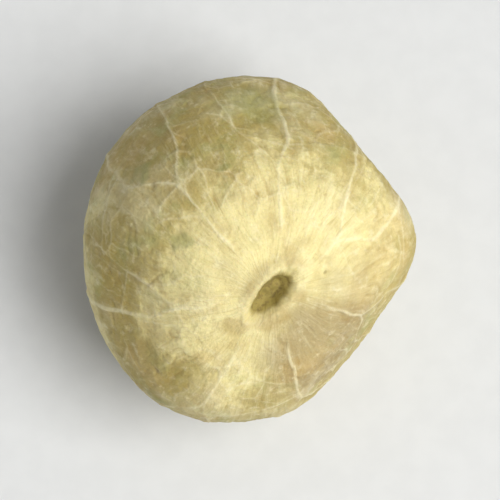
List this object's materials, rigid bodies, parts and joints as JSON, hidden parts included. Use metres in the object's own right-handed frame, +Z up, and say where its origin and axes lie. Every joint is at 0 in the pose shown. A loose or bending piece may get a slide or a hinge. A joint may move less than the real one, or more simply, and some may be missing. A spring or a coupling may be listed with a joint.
{
  "type": "white peppercorn",
  "caption": "dried white peppercorn: a pale, nearly round grain with raised veins, an oval stalk scar and a small tip, lying on a small flat spot",
  "frame": {"origin": "on the surface that the grain rests on, under the middle of its box", "axes": "+Z up; -Z is the normal of the flat rest spot; the stalk scar faces up and leans towards -Y; the small tip faces down and leans towards +Y"},
  "size_m": [0.0046, 0.0048, 0.0045],
  "materials": {
    "pepper_skin": "matte"
  },
  "bodies": {
    "root": {"peppercorn": "pepper_skin"}
  },
  "joints": []
}
